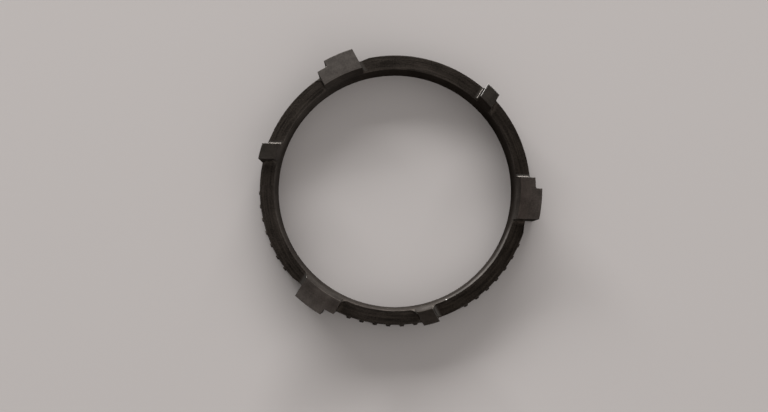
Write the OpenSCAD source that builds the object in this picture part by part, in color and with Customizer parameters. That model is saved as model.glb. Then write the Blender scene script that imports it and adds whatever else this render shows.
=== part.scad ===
// Synchronizer ring of a truck gearbox, one forged and machined piece of steel.
// The axis of the ring is Z. Its plain face lies at Z = 0 and its lugs point up.
// X runs along the sides of the first stepped lug. Lengths are millimetres, angles are degrees.

/* [Ring] */
// Bore diameter at the plain face, the small end of the friction cone
bore_d = 120; // [100:0.5:140]
// Angle between the friction cone and the axis, opening towards the lugs
cone_angle = 7.5; // [4:0.5:8]
// Thickness of the ring at the plain face, from the bore to the outer wall
wall_t = 8.5; // [6.5:0.1:12]
// Height of the ring between the lugs
ring_h = 10; // [8:0.5:14]
// Chamfer along the upper edge of the wall
wall_chamfer = 0.2; // [0.2:0.1:1.2]
// Chamfer along the edges of the bore, below the lugs
bore_chamfer = 0.3; // [0.1:0.05:0.35]

/* [Blocking teeth] */
// Tooth positions round the whole ring, a multiple of three
tooth_count = 63; // [54:3:72]
// How far a tooth stands out of the wall
tooth_depth = 1.3; // [0.8:0.1:1.8]
// Tooth width where it meets the wall
tooth_w = 3.3; // [2.8:0.1:4]
// Height of the straight flanks, below the pointed end
flank_h = 2; // [1.5:0.25:5.5]
// Slope of each flank in plan, from the tooth's middle line
flank_angle = 30; // [20:1:35]
// Slope of the two faces of the pointed end
point_angle = 32; // [20:1:45]
// Least gap between a tooth and a lug or a relief flat
tooth_gap = 1.5; // [0.8:0.1:3]
// Toothless length of wall behind each narrow lug
idle_length = 12; // [9:0.5:15]

/* [Stepped lugs] */
// Height of all lugs above the ring
lug_rise = 8.5; // [5:0.5:12]
// How far the broad part of a lug stands out of the wall
lug_reach = 4.5; // [2.5:0.1:6]
// Width of the broad part
lug_w = 15.4; // [12:0.2:18]
// Width of the step behind it, which stands out no further than the teeth
step_w = 5.4; // [3.5:0.2:8]
// Distance of the lug's leading side from the ring's middle plane
lug_lead = 14.2; // [10:0.2:16]

/* [Narrow lugs] */
// Width of a narrow lug
narrow_w = 7.8; // [5:0.2:10]
// Distance of its middle line from the ring's middle plane
narrow_offset = 16.4; // [12:0.2:18]

/* [Lug edges] */
// Chamfer along the outer and side edges of every lug's top
lug_chamfer = 0.2; // [0.2:0.1:1]
// Fillet at the foot of every lug
lug_fillet = 3; // [0.5:0.1:3.2]
// Depth of the relief flat that is milled into the wall before each stepped lug
relief_depth = 1.6; // [0.8:0.1:2.2]

/* [Hidden] */
$fn = 180;

// Stepped and narrow lugs alternate, with their sides parallel to directions half a sector apart
sectors = 3;
sector_angle = 360 / sectors;

// Length by which cutters and blanks run past the faces that they meet
over = 1;
// Depth to which a fillet or tooth is sunk into what carries it
sunk = 0.5;
// Amount by which a fillet's arc crosses the faces that it joins
bite = 0.03;

wall_r = bore_d / 2 + wall_t;
tip_r = wall_r + tooth_depth;
lug_r = wall_r + lug_reach;
lug_h = ring_h + lug_rise;
blank_r = bore_d / 2 - over;

// Sides of the stepped lug and of the narrow lug, as distances across their own direction
lug_front = -lug_lead;
lug_back = lug_front + lug_w;
step_back = lug_back + step_w;
narrow_front = -narrow_offset - narrow_w / 2;
narrow_back = narrow_front + narrow_w;

// The relief flat is square to the middle of the lug's broad part
relief_angle = asin((lug_front + lug_back) / 2 / lug_r);
relief_r = wall_r - relief_depth;
relief_start = relief_angle - acos(relief_r / wall_r);

// The inner edge of a lug's top has a broader chamfer than its other edges
inner_share = 1.5;
inner_chamfer = inner_share * lug_chamfer;

// An upright fillet takes up no more than this share of a lug that stands out as far as a tooth
corner_share = 0.9;
corner_r = min(lug_fillet, corner_share * tooth_depth);

// Radius of the friction cone at height z
function cone_r(z) = bore_d / 2 + z * tan(cone_angle);

// Angle of the point of the wall that lies at distance y across, and of a length along the wall
function wall_angle(y) = asin(y / wall_r);
function arc_angle(length) = length / wall_r * 180 / PI;

// A tooth is there if its flanks lie between the lugs, with their gaps
tooth_pitch = 360 / tooth_count;
tooth_half = arc_angle(tooth_w / 2);
gap_angle = arc_angle(tooth_gap);
narrow_angle = sector_angle / 2;
first_row = [wall_angle(step_back) + gap_angle, narrow_angle + wall_angle(narrow_front) - gap_angle];
second_row = [
    narrow_angle + wall_angle(narrow_back) + arc_angle(idle_length),
    sector_angle + relief_start - gap_angle
];
function in_row(angle, row) = angle - tooth_half >= row[0] && angle + tooth_half <= row[1];
function has_tooth(angle) = in_row(angle, first_row) || in_row(angle, second_row);
tooth_angles = [
    for (i = [0 : tooth_count / sectors - 1])
        if (has_tooth(i * tooth_pitch)) i * tooth_pitch
];

// Solid of revolution between the blank's inner radius and radius r, with a chamfered upper edge
module turned(r, h, chamfer) {
    rotate_extrude()
        polygon([
            [blank_r, 0],
            [r, 0],
            [r, h - chamfer],
            [r - chamfer, h],
            [blank_r, h]
        ]);
}

// Prism along X with the given outline across (Y) and up (Z)
module along_x() {
    rotate([90, 0, 90])
        linear_extrude(height = lug_r + over)
            children();
}

// Outline of a concave fillet of radius r about centre, in the corner of which heel lies inside
module fillet_outline(centre, foot_1, heel, foot_2, r) {
    difference() {
        polygon([centre, foot_1, heel, foot_2]);
        translate(centre)
            circle(r);
    }
}

// Upright fillet between a lug's side at y and the round face of radius r
// The side is open towards free, which is 1 or -1
module round_corner(y, free, r, h) {
    reach = corner_r - bite;
    centre_y = y + free * reach;
    centre = [sqrt((r + reach) ^ 2 - centre_y ^ 2), centre_y];
    foot = centre * (r - sunk) / (r + reach);
    linear_extrude(height = h)
        fillet_outline(centre, [centre.x, y - free * sunk], [foot.x, y - free * sunk], foot, corner_r);
}

// Upright fillet between the leading side of a stepped lug and the relief flat
module flat_corner() {
    reach = corner_r - bite;
    centre_y = lug_front - reach;
    centre = [(relief_r + reach - centre_y * sin(relief_angle)) / cos(relief_angle), centre_y];
    foot = centre - (reach + sunk) * [cos(relief_angle), sin(relief_angle)];
    linear_extrude(height = ring_h)
        fillet_outline(centre, [centre.x, lug_front + sunk], [foot.x, lug_front + sunk], foot, corner_r);
}

// Fillet along the foot of a lug's side at y, on the ring's upper face
module side_foot(y, free) {
    reach = lug_fillet - bite;
    centre = [y + free * reach, ring_h + reach];
    along_x()
        fillet_outline(
            centre,
            [y - free * sunk, centre.y],
            [y - free * sunk, ring_h - sunk],
            [centre.x, ring_h - sunk],
            lug_fillet
        );
}

// Lug between two parallel sides, out to radius r, with its top edges chamfered
module lug_block(front, back, r) {
    intersection() {
        turned(r, lug_h, lug_chamfer);
        along_x()
            polygon([
                [front, 0],
                [back, 0],
                [back, lug_h - lug_chamfer],
                [back - lug_chamfer, lug_h],
                [front + lug_chamfer, lug_h],
                [front, lug_h - lug_chamfer]
            ]);
    }
}

// Stepped lug on the X axis, with the fillets in its corners
module stepped_lug() {
    lug_block(lug_front, lug_back, lug_r);
    lug_block((lug_front + lug_back) / 2, step_back, tip_r);
    round_corner(lug_back, 1, tip_r, lug_h - 2 * lug_chamfer);
    round_corner(step_back, 1, wall_r, ring_h - 2 * wall_chamfer);
    flat_corner();
}

// Narrow lug beside the X axis, with the fillets in its corners
module narrow_lug() {
    lug_block(narrow_front, narrow_back, tip_r);
    round_corner(narrow_front, -1, wall_r, ring_h - 2 * wall_chamfer);
    round_corner(narrow_back, 1, wall_r, ring_h - 2 * wall_chamfer);
}

// Blocking tooth on the X axis, tapered in plan and pointed towards the lugs
module tooth() {
    root_half = tooth_w / 2 + sunk * tan(flank_angle);
    tip_half = tooth_w / 2 - tooth_depth * tan(flank_angle);
    ridge_h = flank_h + root_half * tan(point_angle);
    intersection() {
        linear_extrude(height = ridge_h)
            polygon([
                [wall_r - sunk, -root_half],
                [tip_r, -tip_half],
                [tip_r, tip_half],
                [wall_r - sunk, root_half]
            ]);
        along_x()
            polygon([
                [-root_half, 0],
                [root_half, 0],
                [root_half, flank_h],
                [0, ridge_h],
                [-root_half, flank_h]
            ]);
    }
}

// Space before a stepped lug that the relief flat leaves free
module relief() {
    rotate(relief_angle)
        translate([relief_r, -wall_r, -over])
            cube([relief_depth + over, wall_r, lug_h + 2 * over]);
}

// Cutter that breaks the inner edge of the ring's upper face and of the fillets on it
module rim_edge() {
    low = ring_h - bore_chamfer;
    rise = bore_chamfer + lug_fillet + over;
    rotate_extrude()
        polygon([
            [0, low - over],
            [cone_r(low) - over, low - over],
            [cone_r(low) + rise, low + rise],
            [0, low + rise]
        ]);
}

// Upper face of the ring, as the top of a disc, with the fillets at the feet of the lugs
module upper_face() {
    cylinder(h = ring_h, r = lug_r);
    for (i = [0 : sectors - 1])
        rotate(i * sector_angle) {
            side_foot(lug_front, -1);
            side_foot(step_back, 1);
            rotate(narrow_angle) {
                side_foot(narrow_front, -1);
                side_foot(narrow_back, 1);
            }
        }
}

// Plain ring under its upper face, less the relief flats
// The chamfer of the wall runs on over the fillets
module rim() {
    difference() {
        intersection() {
            turned(wall_r, ring_h + lug_fillet, wall_chamfer + lug_fillet);
            upper_face();
        }
        rim_edge();
        for (i = [0 : sectors - 1])
            rotate(i * sector_angle)
                relief();
    }
}

// Friction cone through the ring and the lugs, with its two ends chamfered
module bore() {
    top = lug_h - inner_chamfer;
    rotate_extrude()
        polygon([
            [0, -over],
            [cone_r(bore_chamfer) + bore_chamfer + over, -over],
            [cone_r(bore_chamfer), bore_chamfer],
            [cone_r(top), top],
            [cone_r(top) + inner_chamfer + over, lug_h + over],
            [0, lug_h + over]
        ]);
}

module synchronizer_ring() {
    color([0.19, 0.18, 0.17])
        difference() {
            union() {
                rim();
                for (i = [0 : sectors - 1])
                    rotate(i * sector_angle) {
                        stepped_lug();
                        rotate(narrow_angle)
                            narrow_lug();
                        for (angle = tooth_angles)
                            rotate(angle)
                                tooth();
                    }
            }
            bore();
        }
}

synchronizer_ring();
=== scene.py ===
import math

import bpy
from mathutils import Matrix, Vector


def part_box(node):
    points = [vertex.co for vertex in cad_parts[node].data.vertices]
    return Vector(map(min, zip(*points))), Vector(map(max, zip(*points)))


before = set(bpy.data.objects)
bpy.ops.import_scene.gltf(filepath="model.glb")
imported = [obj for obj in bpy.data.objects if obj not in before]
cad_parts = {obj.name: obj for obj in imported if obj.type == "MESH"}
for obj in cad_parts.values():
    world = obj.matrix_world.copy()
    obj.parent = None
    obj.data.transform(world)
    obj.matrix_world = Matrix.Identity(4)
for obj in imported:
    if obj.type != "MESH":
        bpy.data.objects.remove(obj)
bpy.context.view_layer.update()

# The ring of black phosphated steel lies on a plain pale floor, lugs up, and is seen almost straight down.
# Lengths are metres, in the frame of the part: Z is the ring's axis and its plain face lies at Z = 0.

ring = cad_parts["synchronizer_ring"]
lug_top_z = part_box("synchronizer_ring")[1].z

MM = 0.001

# Camera: focal length in pixels of a picture 768 wide, place and tilt over the ring
PICTURE_W = 768
FOCAL_PX = 870
SENSOR_MM = 36
CAMERA_AT = Vector((-7.8, -40.8, 448.4)) * MM
CAMERA_PITCH = math.radians(4.17)
CAMERA_YAW = math.radians(-0.28)
CLIP_START = 10 * MM
# Angle from the picture's horizontal to the part's X axis
PART_TURN = math.radians(-1.45)

# Floor
FLOOR_HALF = 4.0
FLOOR_DROP = 0.02 * MM
FLOOR_ROUGHNESS = 0.8
FLOOR_SPECULAR = 0.2

# Key light: direction in the picture (0 is right, 90 is up), elevation, distance, width, height and power
KEY_AZIMUTH = math.radians(100)
KEY_ELEVATION = math.radians(16.5)
KEY_DISTANCE = 6.0
KEY_W = 8.2
KEY_H = 1.2
KEY_POWER = 755
# Surroundings: mean brightness, and the share by which it rises towards the brighter side
SKY_LIGHT = 0.75
SKY_RISE = 0.6
SKY_AZIMUTH = math.radians(320)
# Share by which the surroundings are darker overhead
SKY_DROP = 0.7
# Sines of the elevations at which that starts and is full
OVERHEAD = (0.5, 0.95)

# Height of the ring's upper face
RING_TOP = 10 * MM
# Stepped lugs repeat round the ring; a lug's middle lies at this angle from the X axis
LUG_COUNT = 3
LUG_MIDDLE = math.radians(-3.2)
# Half width of the border between stepped and narrow lugs, as a cosine
LUG_BORDER = 0.05
# Depth of the ground layer of the lug tops, which fades out over the same depth below it
LUG_TOP_LAYER = 0.25 * MM
# Upper face between the rubbed rims along its two edges, and the width over which they fade
# The lug tops start at the inner one
INNER_RIM = 62.4 * MM
OUTER_RIM = 67.2 * MM
RIM_FADE = 1.2 * MM

# Cosines between a face and the outward direction at which wall, cone and sides start and are full
WALL_FACING = (0.5, 0.8)
CONE_FACING = (-0.6, -0.9)
SIDE_FACING = (0.75, 0.5)
# Cosines between a side and +Y, the side towards the key light, at which its polish and painted highlight
# start and are full
LIT_FACING = (0.05, 0.3)

# Stretches of the ring: middle direction, and cosines of the angle from it at which they end and are full
# An end below -1 is never reached
# The friction cone is painted lighter on the side that faces the light, and more so up on the lugs: painted
# light
CONE_LIT_STRETCH = (math.radians(228), -0.7, 0.0)
LUG_LIT_STRETCH = (math.radians(250), -1.15, 0.2)
# The top of a stepped lug has a lighter inner edge
INNER_EDGE_STRETCH = (math.radians(250), 0.3, 0.9)
# The cone has a painted highlight on the stretch that faces the light, and a painted highlight along its
# upper edge there
HIGHLIGHT_STRETCH = (math.radians(310), 0.82, 0.93)
EDGE_HIGHLIGHT_STRETCH = (math.radians(319), 0.89, 0.97)
# The upper face is paler between two lugs
PALE_STRETCH = (math.radians(268), 0.95, 0.985)
# Painted highlight along the upper edge of one lug
LUG_HIGHLIGHT_STRETCH = (math.radians(45), 0.97, 0.98)

# Side of the ring, towards the key light, on which the coating and the lug tops are painted paler: painted
# sheen
SHEEN_SIDE = math.radians(125)
# Paleness that the rims and the paler stretch add, and the paleness at which each colour is dark and light
RIM_PALENESS = 0.5
STRETCH_PALENESS = 0.7
COAT_RANGE = (-1.3, 1.6)
NARROW_RANGE = (-1.0, 0.2)
GROUND_RANGE = (-1.2, 1.2)
# The tops of the stepped lugs also pale outward: radius at their middle, and the rise in paleness per metre
GROUND_MIDDLE = 67.5 * MM
GROUND_RISE = 75.0
# Width over which the lighter inner edge of a lug top fades, and how far its colour goes
INNER_EDGE_FADE = 3.5 * MM
INNER_EDGE_SHARE = 0.4

# Heights between which the painted light and highlight on the cone rise above its darker foot, and the
# share of the light that is left at the lug tops
CONE_RISE = (4 * MM, 12 * MM)
LUG_TOP_SHARE = 0.5
# Depth of the painted highlight along the cone's upper edge, and the height over which it ends above the
# upper face
HIGHLIGHT_EDGE_DEPTH = 4.5 * MM
HIGHLIGHT_EDGE_FADE = 0.55 * MM
# Painted glint on the cone's upper edge: direction, distance from the axis, half width and that of its core
GLINT_SIDE = math.radians(296.1)
GLINT_RADIUS = 61.3 * MM
GLINT_HALF = 0.55 * MM
GLINT_CORE = 0.275 * MM

# Heights above the upper face at which the polish and painted highlight of the lugs' feet are full, start
# to fade and end
FOOT_START = 0.06 * MM
FOOT_FULL = 1.8 * MM
FOOT_END = 4.8 * MM

# Radius by which the sharp edges are rounded in the shading
EDGE_RADIUS = 0.22 * MM
BEVEL_SAMPLES = 8
# Distance from the edges of the lug tops over which they are rubbed, and how far their colour goes
WEAR_RADIUS = 0.6 * MM
WEAR_SHARE = 0.6
# Cosines between the rounded and the true normal at which the wear of an edge starts and is full
EDGE_BEND = (0.985, 0.86)
TOP_EDGE_BEND = (0.99, 0.85)
# Values of the blotches between which edges are rubbed, and how far their colour then goes
BLOTCH_WEAR_RANGE = (0.35, 0.65)
BLOTCH_WEAR_SHARE = 0.5

# Noises of the finish: scale per metre and detail
BLOTCHES = (110.0, 6.0)
CRYSTALS = (1500.0, 3.0)
STREAKS = (1100.0, 3.0)
MARKS = (2600.0, 2.0)
# Values between which most of a noise lies
NOISE_RANGE = (0.3, 0.7)
# Shift across the grain for each radian along it, which draws streaks and turning marks out round the axis
STREAK_SHIFT = 3 * MM
MARK_SHIFT = 0.8 * MM
# Shares of blotches, streaks (marks on the cone) and crystals in a texture, and how far it changes the tone
COAT_MIX = (0.25, 0.4, 0.35)
COAT_CONTRAST = 0.8
CONE_MIX = (0.4, 0.35, 0.25)
CONE_CONTRAST = 0.55
SMOOTH_MIX = (0.6, 0.1, 0.3)
SMOOTH_CONTRAST = 0.4

# Share of gloss in the reflection
GLOSS = 0.6
# Roughness between and in the blotches, its change by the grain, that of polished and worn places, and that
# of the painted highlight on one lug
BLOTCH_ROUGHNESS = (0.52, 0.42)
GRAIN_ROUGHNESS = 0.05
POLISHED_ROUGHNESS = 0.17
LUG_HIGHLIGHT_ROUGHNESS = 0.4
# Relief: shares of crystals and streaks, depth, and strength on the coating and on polished places
RELIEF_MIX = (0.6, 0.4)
RELIEF_DEPTH = 0.02 * MM
COAT_RELIEF = 0.25
POLISHED_RELIEF = 0.02


def from_srgb(red, green, blue):
    """Linear colour, with alpha, of an 8-bit display colour."""
    values = [c / 255 for c in (red, green, blue)]
    return [c / 12.92 if c <= 0.04045 else ((c + 0.055) / 1.055) ** 2.4 for c in values] + [1.0]


def around_z(angle):
    """Unit vector square to the axis, at an angle from X."""
    return (math.cos(angle), math.sin(angle), 0.0)


PHOSPHATE_DARK = from_srgb(39, 34, 30)
PHOSPHATE_LIGHT = from_srgb(55, 50, 46)
WALL_COAT = from_srgb(58, 54, 50)
NARROW_SHADED = from_srgb(47, 42, 38)
NARROW_LIT = from_srgb(55, 51, 47)
GROUND_BROWN = from_srgb(63, 56, 52)
GROUND_GREY = from_srgb(92, 87, 83)
CONE_SHADED = from_srgb(45, 40, 36)
CONE_LIT = from_srgb(69, 64, 60)
CONE_HIGH = from_srgb(84, 79, 75)
CONE_HIGHLIGHT = from_srgb(103, 98, 94)
CONE_EDGE_HIGHLIGHT = from_srgb(132, 127, 123)
POLISHED_HIGHLIGHT_SIDE = from_srgb(61, 58, 55)
WORN_EDGE_AND_HIGHLIGHT = from_srgb(96, 92, 88)
HIGHLIGHT_STEEL = from_srgb(168, 165, 162)
GRAZING_TINT = from_srgb(30, 29, 27)
FLOOR_COLOUR = from_srgb(186, 181, 179)
SKY_TINT = from_srgb(255, 252, 250)


class Graph:
    """Short way to add nodes to a material or world and to link them.

    Sockets whose names repeat on a node go by their number.
    """

    def __init__(self, owner):
        owner.use_nodes = True
        self.tree = owner.node_tree
        self.tree.nodes.clear()

    def put(self, value, socket):
        if isinstance(value, bpy.types.NodeSocket):
            self.tree.links.new(value, socket)
        else:
            socket.default_value = value

    def add(self, kind, inputs=None, **settings):
        node = self.tree.nodes.new(kind)
        for name, value in settings.items():
            setattr(node, name, value)
        for name, value in (inputs or {}).items():
            self.put(value, node.inputs[name])
        return node

    def math(self, operation, *values):
        node = self.add("ShaderNodeMath", operation=operation)
        for socket, value in zip(node.inputs, values):
            self.put(value, socket)
        return node.outputs[0]

    def product(self, first, *others):
        for other in others:
            first = self.math("MULTIPLY", first, other)
        return first

    def weigh(self, parts):
        """Sum of values, each times its weight."""
        total = 0.0
        for value, weight in parts:
            total = self.math("MULTIPLY_ADD", value, weight, total)
        return total

    def dot(self, first, second):
        node = self.add("ShaderNodeVectorMath", {0: first, 1: second}, operation="DOT_PRODUCT")
        return node.outputs["Value"]

    def noise(self, vector, scale, detail):
        node = self.add("ShaderNodeTexNoise", {"Vector": vector, "Scale": scale, "Detail": detail})
        return node.outputs["Fac"]

    def bevel(self, radius):
        return self.add("ShaderNodeBevel", {"Radius": radius}, samples=BEVEL_SAMPLES).outputs["Normal"]

    def remap(self, value, low, high, to_low=0.0, to_high=1.0):
        inputs = {"Value": value, "From Min": low, "From Max": high, "To Min": to_low, "To Max": to_high}
        return self.add("ShaderNodeMapRange", inputs, interpolation_type="SMOOTHSTEP").outputs[0]

    def between(self, factor, first, second):
        """Number between two others."""
        node = self.add("ShaderNodeMix", {0: factor, 2: first, 3: second}, data_type="FLOAT")
        return node.outputs[0]

    def blend(self, factor, first, second):
        """Colour between two others."""
        node = self.add("ShaderNodeMix", {0: factor, 6: first, 7: second}, data_type="RGBA")
        return node.outputs[2]


class RingSurface(Graph):
    """Nodes that say where a point of the ring lies, which way it faces and how the finish varies there."""

    def __init__(self, material):
        super().__init__(material)
        self.place = self.add("ShaderNodeTexCoord").outputs["Object"]
        x, y, self.z = self.add("ShaderNodeSeparateXYZ", {"Vector": self.place}).outputs
        flat = self.add("ShaderNodeCombineXYZ", {"X": x, "Y": y}).outputs[0]
        self.radius = self.add("ShaderNodeVectorMath", {0: flat}, operation="LENGTH").outputs["Value"]
        self.outward = self.add("ShaderNodeVectorMath", {0: flat}, operation="NORMALIZE").outputs[0]
        self.angle = self.math("ARCTAN2", y, x)
        self.normal = self.add("ShaderNodeNewGeometry").outputs["Normal"]
        self.rounded = self.bevel(EDGE_RADIUS)

        facing_out = self.dot(self.normal, self.outward)
        self.on_wall = self.remap(facing_out, *WALL_FACING)
        self.on_cone = self.remap(facing_out, *CONE_FACING)
        layer_z = lug_top_z - LUG_TOP_LAYER
        self.on_tops = self.remap(self.z, layer_z - LUG_TOP_LAYER, layer_z)
        self.highlight_stretch = self.stretch(*HIGHLIGHT_STRETCH)
        # Painted sheen: paler towards the side the key light comes from
        self.paleness_and_sheen = self.dot(self.outward, around_z(SHEEN_SIDE))

        # Large blotches and fine crystals of the coating, and streaks that run round the axis
        self.blotches = self.noise(self.place, *BLOTCHES)
        self.crystals = self.noise(self.place, *CRYSTALS)
        self.streaks = self.turned_noise(STREAK_SHIFT, *STREAKS)

    def stretch(self, middle, end, full):
        """Mask of a stretch of the ring about a direction."""
        return self.remap(self.dot(self.outward, around_z(middle)), end, full)

    def turned_noise(self, shift, scale, detail):
        """Noise that is drawn out round the axis."""
        along = self.math("MULTIPLY", self.angle, shift)
        place = self.add("ShaderNodeCombineXYZ", {"X": self.radius, "Y": along, "Z": self.z}).outputs[0]
        return self.noise(place, scale, detail)

    def tone(self, noises, mix, contrast):
        """Factor about 1 by which a mix of noises darkens or lightens a colour."""
        texture = self.weigh(zip(noises, mix))
        return self.remap(texture, *NOISE_RANGE, 1.0 - contrast, 1.0 + contrast)


def coat_colour(steel):
    """Coating, with painted sheen towards the lit side, paler on one stretch and along the rims, with a
    tone of its own on the wall.
    """
    inner_rim = steel.remap(steel.radius, INNER_RIM + RIM_FADE, INNER_RIM)
    outer_rim = steel.remap(steel.radius, OUTER_RIM, OUTER_RIM + RIM_FADE)
    rims = steel.math("MAXIMUM", inner_rim, outer_rim)
    pale_stretch = steel.stretch(*PALE_STRETCH)
    paleness_and_sheen = steel.weigh([(steel.paleness_and_sheen, 1.0), (rims, RIM_PALENESS), (pale_stretch, STRETCH_PALENESS)])
    colour = steel.blend(steel.remap(paleness_and_sheen, *COAT_RANGE), PHOSPHATE_DARK, PHOSPHATE_LIGHT)
    return steel.blend(steel.on_wall, colour, WALL_COAT)


def cone_colour(steel):
    """Friction cone with painted light: lighter on the side that faces the light and up on the lugs, with a
    painted highlight on one stretch and along its upper edge.
    """
    up_cone = steel.remap(steel.z, *CONE_RISE)
    below_lug_top = steel.remap(steel.z, lug_top_z, RING_TOP, LUG_TOP_SHARE, 1.0)
    # Painted light up on the lugs, on the side that faces the light
    on_lugs = steel.product(up_cone, below_lug_top, steel.stretch(*LUG_LIT_STRETCH))
    # Painted light: shaded and lit copies of the cone's colour, by the side it faces
    colour = steel.blend(steel.stretch(*CONE_LIT_STRETCH), CONE_SHADED, CONE_LIT)
    colour = steel.blend(on_lugs, colour, CONE_HIGH)
    # Painted highlight up the cone on the stretch that faces the light
    colour = steel.blend(steel.product(steel.highlight_stretch, up_cone), colour, CONE_HIGHLIGHT)
    # Painted highlight along the cone's upper edge on that stretch
    below_top = steel.remap(steel.z, RING_TOP - HIGHLIGHT_EDGE_DEPTH, RING_TOP)
    above_top = steel.remap(steel.z, RING_TOP, RING_TOP + HIGHLIGHT_EDGE_FADE)
    upper_edge = steel.math("SUBTRACT", below_top, above_top)
    edge_highlight = steel.product(steel.stretch(*EDGE_HIGHLIGHT_STRETCH), upper_edge)
    return steel.blend(edge_highlight, colour, CONE_EDGE_HIGHLIGHT)


def top_colour(steel):
    """Ground tops of the lugs, with painted sheen towards the lit side; those of the stepped lugs also pale
    outward, and one has a lighter inner edge.
    """
    turns = steel.product(steel.math("SUBTRACT", steel.angle, LUG_MIDDLE), LUG_COUNT)
    on_stepped = steel.remap(steel.math("COSINE", turns), -LUG_BORDER, LUG_BORDER)
    past_middle = steel.math("SUBTRACT", steel.radius, GROUND_MIDDLE)
    paleness_and_sheen = steel.weigh([(steel.paleness_and_sheen, 1.0), (past_middle, GROUND_RISE)])
    stepped = steel.blend(steel.remap(paleness_and_sheen, *GROUND_RANGE), GROUND_BROWN, GROUND_GREY)
    inner_edge = steel.remap(steel.radius, INNER_RIM + INNER_EDGE_FADE, INNER_RIM, 0.0, INNER_EDGE_SHARE)
    lighter = steel.product(inner_edge, steel.stretch(*INNER_EDGE_STRETCH))
    stepped = steel.blend(lighter, stepped, CONE_HIGH)
    # Narrow lug tops: shaded and lit copies of one colour, painted by the side they face
    narrow = steel.blend(steel.remap(steel.paleness_and_sheen, *NARROW_RANGE), NARROW_SHADED, NARROW_LIT)
    return steel.blend(on_stepped, narrow, stepped)


def texture_tone(steel):
    """Texture of the finish, with fine turning marks on the cone, and fainter on the tops and the wall."""
    marks = steel.turned_noise(MARK_SHIFT, *MARKS)
    coat_noises = (steel.blotches, steel.streaks, steel.crystals)
    cone_noises = (steel.blotches, marks, steel.crystals)
    coat = steel.tone(coat_noises, COAT_MIX, COAT_CONTRAST)
    cone = steel.tone(cone_noises, CONE_MIX, CONE_CONTRAST)
    smooth = steel.tone(coat_noises, SMOOTH_MIX, SMOOTH_CONTRAST)
    on_smooth = steel.math("MAXIMUM", steel.on_tops, steel.on_wall)
    return steel.between(on_smooth, steel.between(steel.on_cone, coat, cone), smooth)


def light_facing_sides(steel):
    """Mask of the sides of the lugs that face +Y, towards the key light."""
    sideways = steel.remap(steel.math("ABSOLUTE", steel.dot(steel.rounded, steel.outward)), *SIDE_FACING)
    facing_y = steel.remap(steel.dot(steel.rounded, (0.0, 1.0, 0.0)), *LIT_FACING)
    return steel.product(sideways, facing_y)


def lug_feet(steel):
    """Mask of the heights at which the fillets at the feet of the lugs carry polish and a painted
    highlight.
    """
    above_ring = steel.remap(steel.z, RING_TOP, RING_TOP + FOOT_START)
    below_end = steel.remap(steel.z, RING_TOP + FOOT_END, RING_TOP + FOOT_FULL)
    return steel.product(above_ring, below_end)


def worn_tops(steel):
    """Mask of the worn edges of the lug tops, apart from their inner edges."""
    bend = steel.dot(steel.bevel(WEAR_RADIUS), steel.normal)
    edge = steel.remap(bend, *TOP_EDGE_BEND, 0.0, WEAR_SHARE)
    off_cone = steel.remap(steel.radius, INNER_RIM + WEAR_RADIUS, INNER_RIM + 2 * WEAR_RADIUS)
    return steel.product(steel.on_tops, off_cone, edge)


def worn_and_highlight_edges(steel):
    """Mask of all edges, worn in blotches, and with a painted highlight throughout on the cone's lit
    stretch.
    """
    edge = steel.remap(steel.dot(steel.rounded, steel.normal), *EDGE_BEND)
    in_blotches = steel.remap(steel.blotches, *BLOTCH_WEAR_RANGE, 0.0, BLOTCH_WEAR_SHARE)
    return steel.product(edge, steel.math("MAXIMUM", in_blotches, steel.highlight_stretch))


def painted_glint(steel):
    """Mask of the painted glint on the upper edge of the cone."""
    middle = GLINT_RADIUS * Vector(around_z(GLINT_SIDE)) + Vector((0.0, 0.0, RING_TOP))
    distance = steel.add("ShaderNodeVectorMath", {0: steel.place, 1: middle}, operation="DISTANCE")
    return steel.remap(distance.outputs["Value"], GLINT_HALF, GLINT_CORE)


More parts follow.
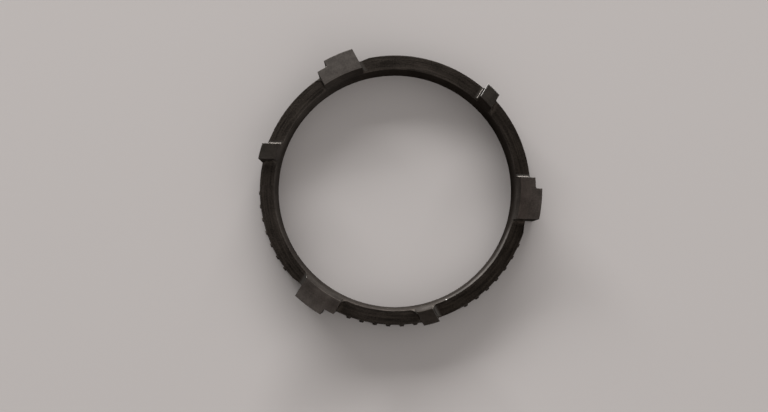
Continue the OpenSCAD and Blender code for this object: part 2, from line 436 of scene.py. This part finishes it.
def phosphated_steel():
    """Black phosphated steel with ground lug tops and worn edges, and painted light: sheen towards the lit
    side, a lighter and highlit friction cone, highlit feet with polish facing the light, a highlit lug edge
    and a glint.
    """
    material = bpy.data.materials.new("phosphated_steel_look")
    steel = RingSurface(material)
    sides = light_facing_sides(steel)
    polish_and_highlight = steel.product(steel.math("MAXIMUM", lug_feet(steel), steel.on_tops), sides)
    # Painted highlight along the upper edge of one lug, on its side facing the light
    lug_highlight = steel.product(sides, steel.on_tops, steel.stretch(*LUG_HIGHLIGHT_STRETCH))
    wear_and_highlight = worn_and_highlight_edges(steel)

    colour = steel.blend(steel.on_cone, coat_colour(steel), cone_colour(steel))
    colour = steel.blend(steel.on_tops, colour, top_colour(steel))
    textured = steel.add("ShaderNodeHueSaturation", {"Value": texture_tone(steel), "Color": colour})
    # Sides facing the light have polish, in a lighter gloss colour that brightens their highlight: partly
    # painted highlight
    colour = steel.blend(polish_and_highlight, textured.outputs[0], POLISHED_HIGHLIGHT_SIDE)
    colour = steel.blend(worn_tops(steel), colour, WORN_EDGE_AND_HIGHLIGHT)
    # Painted highlight on one lug's upper edge
    colour = steel.blend(lug_highlight, colour, HIGHLIGHT_STEEL)
    # Worn edges, and painted highlight on the edges of the cone's lit stretch
    colour = steel.blend(wear_and_highlight, colour, WORN_EDGE_AND_HIGHLIGHT)
    # Painted glint on the cone's upper edge
    colour = steel.blend(painted_glint(steel), colour, HIGHLIGHT_STEEL)

    # Polished and worn places and the painted highlights on them are smoother than the coating
    smooth = steel.math("MAXIMUM", polish_and_highlight, wear_and_highlight)
    grain = steel.remap(steel.crystals, *NOISE_RANGE, -GRAIN_ROUGHNESS, GRAIN_ROUGHNESS)
    coarse = steel.math("ADD", steel.remap(steel.blotches, *NOISE_RANGE, *BLOTCH_ROUGHNESS), grain)
    roughness = steel.between(smooth, coarse, POLISHED_ROUGHNESS)
    roughness = steel.between(lug_highlight, roughness, LUG_HIGHLIGHT_ROUGHNESS)
    bump_inputs = {
        "Height": steel.weigh(zip((steel.crystals, steel.streaks), RELIEF_MIX)),
        "Normal": steel.rounded,
        "Strength": steel.remap(smooth, 0.0, 1.0, COAT_RELIEF, POLISHED_RELIEF),
        "Distance": RELIEF_DEPTH,
    }
    bump = steel.add("ShaderNodeBump", bump_inputs)

    # More than half of the reflection is gloss, which fades towards grazing angles
    shader_inputs = {
        "Base Color": colour,
        "Metallic": GLOSS,
        "Specular IOR Level": 0.0,
        "Specular Tint": GRAZING_TINT,
        "Roughness": roughness,
        "Normal": bump.outputs["Normal"],
    }
    shader = steel.add("ShaderNodeBsdfPrincipled", shader_inputs)
    steel.add("ShaderNodeOutputMaterial", {"Surface": shader.outputs[0]})
    return material


def pale_floor():
    """Plain matt floor."""
    material = bpy.data.materials.new("pale_floor")
    graph = Graph(material)
    shader_inputs = {
        "Base Color": FLOOR_COLOUR,
        "Roughness": FLOOR_ROUGHNESS,
        "Specular IOR Level": FLOOR_SPECULAR,
    }
    shader = graph.add("ShaderNodeBsdfPrincipled", shader_inputs)
    graph.add("ShaderNodeOutputMaterial", {"Surface": shader.outputs[0]})
    return material


def add_floor():
    """Flat square under the ring."""
    signs = [(-1, -1), (1, -1), (1, 1), (-1, 1)]
    corners = [(i * FLOOR_HALF, j * FLOOR_HALF, -FLOOR_DROP) for i, j in signs]
    mesh = bpy.data.meshes.new("floor")
    mesh.from_pydata(corners, [], [(0, 1, 2, 3)])
    mesh.materials.append(pale_floor())
    floor = bpy.data.objects.new("floor", mesh)
    bpy.context.scene.collection.objects.link(floor)


def add_world():
    """Soft surroundings, brighter towards the lower right of the picture and darker overhead."""
    world = bpy.data.worlds.new("surroundings")
    graph = Graph(world)
    direction = graph.add("ShaderNodeTexCoord").outputs["Generated"]
    towards_bright = graph.dot(direction, around_z(SKY_AZIMUTH - PART_TURN))
    strength = graph.math("MULTIPLY_ADD", towards_bright, SKY_RISE * SKY_LIGHT, SKY_LIGHT)
    up = graph.dot(direction, (0.0, 0.0, 1.0))
    strength = graph.product(strength, graph.remap(up, *OVERHEAD, 1.0, 1.0 - SKY_DROP))
    background = graph.add("ShaderNodeBackground", {"Color": SKY_TINT, "Strength": strength})
    graph.add("ShaderNodeOutputWorld", {"Surface": background.outputs[0]})
    bpy.context.scene.world = world


def add_key_light():
    """Broad window-like light from the top of the picture, low enough for long soft shadows."""
    light = bpy.data.lights.new("key", "AREA")
    light.shape = "RECTANGLE"
    light.size = KEY_W
    light.size_y = KEY_H
    light.energy = KEY_POWER
    azimuth = KEY_AZIMUTH - PART_TURN
    flat = math.cos(KEY_ELEVATION)
    towards = Vector((flat * math.cos(azimuth), flat * math.sin(azimuth), math.sin(KEY_ELEVATION)))
    lamp = bpy.data.objects.new("key", light)
    aim = towards.to_track_quat("Z", "Y").to_matrix().to_4x4()
    lamp.matrix_world = Matrix.Translation(towards * KEY_DISTANCE) @ aim
    bpy.context.scene.collection.objects.link(lamp)


def add_camera():
    """Camera over the ring, tilted as in the photograph."""
    data = bpy.data.cameras.new("camera")
    data.sensor_width = SENSOR_MM
    data.lens = FOCAL_PX / PICTURE_W * SENSOR_MM
    data.clip_start = CLIP_START
    camera = bpy.data.objects.new("camera", data)
    tilt = Matrix.Rotation(CAMERA_YAW, 4, "Y") @ Matrix.Rotation(CAMERA_PITCH, 4, "X")
    camera.matrix_world = Matrix.Rotation(-PART_TURN, 4, "Z") @ Matrix.Translation(CAMERA_AT) @ tilt
    bpy.context.scene.collection.objects.link(camera)
    bpy.context.scene.camera = camera


add_camera()
add_world()
add_key_light()
add_floor()
look = phosphated_steel()
for slot in ring.material_slots:
    slot.material = look
bpy.context.scene.view_settings.view_transform = "Standard"

bpy.context.view_layer.update()
